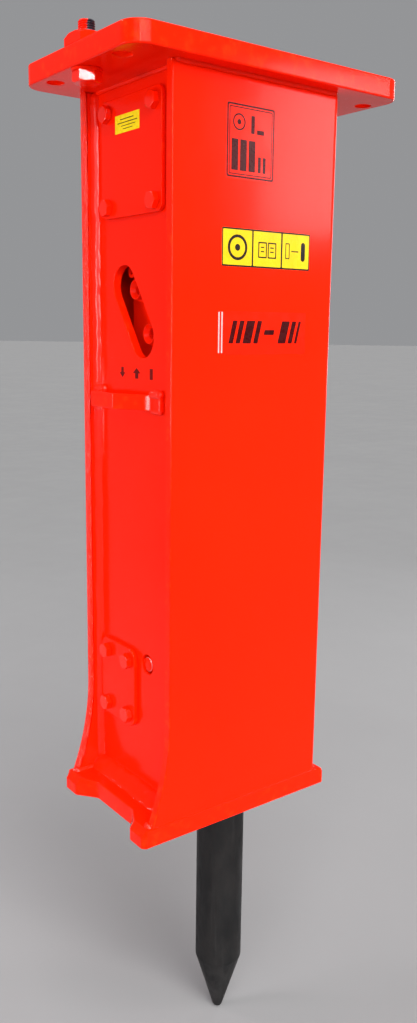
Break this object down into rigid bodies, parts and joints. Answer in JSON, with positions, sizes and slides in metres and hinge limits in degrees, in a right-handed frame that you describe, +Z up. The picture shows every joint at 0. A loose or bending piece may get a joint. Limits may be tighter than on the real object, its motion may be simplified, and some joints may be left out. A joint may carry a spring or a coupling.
{
  "type": "hydraulic breaker hammer",
  "caption": "Box-housed hydraulic breaker hammer with a flat bolted top plate, side hose window, service covers, footed base and a pointed chisel that slides on retaining pins.",
  "frame": {"origin": "centre of the top mounting plate, on its top face", "axes": "+Z up, away from the tool; +X along the broad side plates, away from the hose window; -Y is the broad face seen first; the tool axis is parallel to Z, 27 mm to +X of the origin"},
  "size_m": [0.412, 0.26, 1.388],
  "materials": {
    "red_paint": "gloss",
    "tool_steel": "satin",
    "dark_casting": "matte",
    "bright_steel": "satin",
    "bearing_bronze": "satin",
    "guide_plastic": "matte",
    "black_rubber": "matte"
  },
  "bodies": {
    "housing": {"top_plate": "red_paint", "front_side_plate": "red_paint", "rear_side_plate": "red_paint", "left_wall_panel": "red_paint", "right_wall_panel": "red_paint", "base_plate": "red_paint", "upper_service_cover": "red_paint", "upper_cover_bolts": "red_paint", "lower_service_cover": "red_paint", "lower_cover_bolts": "red_paint", "hose_strap": "red_paint", "bracket_bolt": "red_paint", "bracket_bolt_washer": "red_paint", "bracket_square_nut": "red_paint", "inlet_adapter": "red_paint", "outlet_adapter": "red_paint", "valve_housing": "red_paint", "valve_housing_bolts": "red_paint", "valve_top_plug": "red_paint", "valve_bottom_plug": "red_paint", "port_seals": "red_paint", "back_head": "red_paint", "cylinder_block": "red_paint", "upper_damper": "black_rubber", "lower_damper": "black_rubber", "cylinder_o_rings": "black_rubber", "piston_seals": "black_rubber", "dust_seal": "black_rubber", "front_guide_pads": "guide_plastic", "rear_guide_pads": "guide_plastic", "right_guide_pads": "guide_plastic", "left_guide_blocks": "dark_casting", "front_head": "dark_casting", "seal_carrier": "bearing_bronze", "upper_bush": "bearing_bronze", "lower_bush": "bearing_bronze", "damper_pressure_plate": "bright_steel", "gas_charging_valve": "bright_steel", "gas_valve_cap": "bright_steel", "bush_lock_pin": "bright_steel", "through_bolts": "bright_steel", "through_bolt_washers": "bright_steel", "through_bolt_nuts": "bright_steel", "grease_nipple": "bright_steel", "gallery_plugs": "bright_steel"},
    "chisel": {"chisel": "tool_steel"},
    "piston": {"piston": "bright_steel"},
    "valve_spool": {"valve_spool": "bright_steel"},
    "retaining_pin_left": {"retaining_pin_left": "bright_steel"},
    "retaining_pin_right": {"retaining_pin_right": "bright_steel"}
  },
  "joints": [
    {"name": "chisel_slide", "type": "slide", "parent": "housing", "child": "chisel", "axis": [0, 0, 1], "range_m": [0, 0.05]},
    {"name": "piston_stroke", "type": "slide", "parent": "housing", "child": "piston", "axis": [0, 0, 1], "range_m": [0, 0.09]},
    {"name": "spool_shift", "type": "slide", "parent": "housing", "child": "valve_spool", "axis": [0, 0, 1], "range_m": [0, 0.011]},
    {"name": "left_pin_pull", "type": "slide", "parent": "housing", "child": "retaining_pin_left", "axis": [-1, 0, 0], "range_m": [0, 0.15]},
    {"name": "right_pin_pull", "type": "slide", "parent": "housing", "child": "retaining_pin_right", "axis": [1, 0, 0], "range_m": [0, 0.15]}
  ]
}
